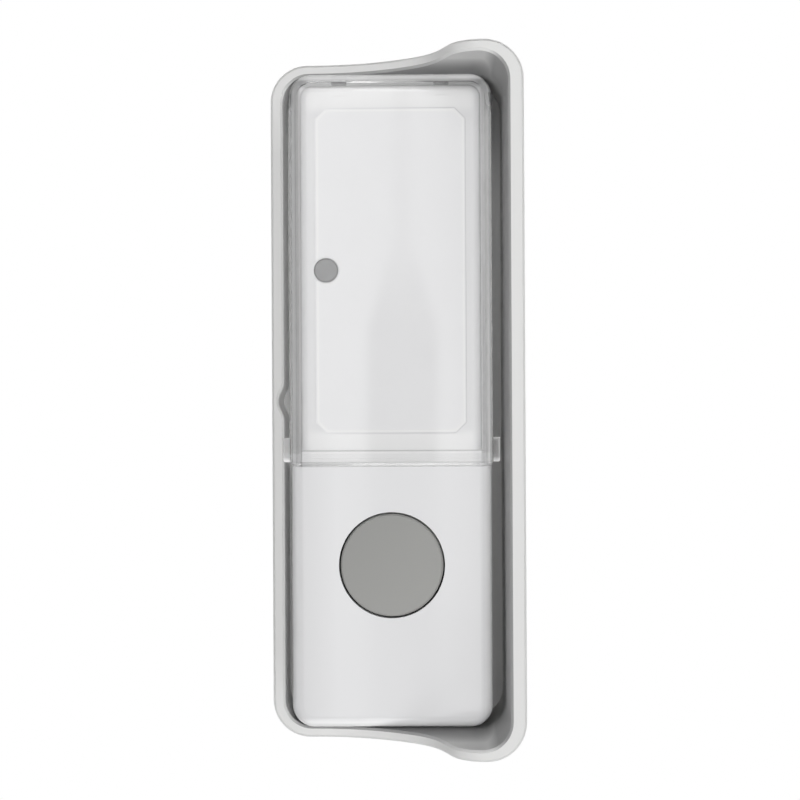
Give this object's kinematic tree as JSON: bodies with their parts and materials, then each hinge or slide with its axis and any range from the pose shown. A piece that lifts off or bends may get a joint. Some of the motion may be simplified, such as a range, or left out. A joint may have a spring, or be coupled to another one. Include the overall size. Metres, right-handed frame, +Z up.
{
  "type": "wireless doorbell push",
  "caption": "Slim wireless doorbell push with a name card under a clear hinged cover and a round button, seated in a wall tray with a low and a tall side.",
  "frame": {"origin": "on the tray's flat back, on the push's centre line and halfway up", "axes": "+Y into the wall, out of the tray's back; +Z up along the push; +X to the right, towards the tall wall"},
  "size_m": [0.0499, 0.0358, 0.136],
  "materials": {
    "tray_plastic": "light grey satin moulding",
    "casing_plastic": "white gloss moulding",
    "clear_plastic": "clear gloss moulding",
    "card": "plain white card",
    "lens_plastic": "smoky translucent plastic",
    "led_plastic": "clear epoxy",
    "button_plastic": "mid grey satin moulding",
    "seal_rubber": "black rubber",
    "inner_plastic": "white moulding",
    "foam": "grey foam",
    "board": "green solder mask",
    "screw_steel": "zinc plated",
    "black_plastic": "black moulding",
    "plate_steel": "tinned steel",
    "plunger_plastic": "black moulding",
    "cell_steel": "nickel plated steel",
    "contact_steel": "nickel plated spring steel",
    "chip_plastic": "black moulding compound",
    "can_steel": "drawn can",
    "chip_ceramic": "ceramic",
    "antenna_wire": "tinned copper strip"
  },
  "bodies": {
    "tray": {"wall_tray": "tray_plastic", "mounting_pads": "foam", "base_plate": "inner_plastic", "front_casing": "casing_plastic", "name_card": "card", "indicator_lens": "lens_plastic", "indicator_led": "led_plastic", "circuit_board": "board", "board_screws": "screw_steel", "switch_body": "black_plastic", "switch_plate": "plate_steel", "battery_holder": "black_plastic", "battery_cell": "cell_steel", "positive_contact": "contact_steel", "negative_contact": "contact_steel", "transmitter_chip": "chip_plastic", "encoder_chip": "chip_plastic", "crystal": "can_steel", "chip_parts": "chip_ceramic", "antenna_loop": "antenna_wire"},
    "button": {"push_button": "button_plastic", "button_seal": "seal_rubber"},
    "plunger": {"switch_plunger": "plunger_plastic"},
    "cover": {"name_cover": "clear_plastic"}
  },
  "joints": [
    {"name": "button_press", "type": "slide", "parent": "tray", "child": "button", "axis": [0, 1, 0], "range_m": [0, 0.0006], "stiffness_N_per_m": 1200, "springref_m": -0.0004},
    {"name": "plunger_press", "type": "slide", "parent": "tray", "child": "plunger", "axis": [0, 1, 0], "range_m": [0, 0.0003]},
    {"name": "cover_hinge", "type": "hinge", "parent": "tray", "child": "cover", "pos_m": [0, -0.0154, 0.06265], "axis": [-1, 0, 0], "range_deg": [0, 22]}
  ],
  "couplings": [
    {"joint": "plunger_press", "follows": "button_press", "ratio": 0.5}
  ]
}
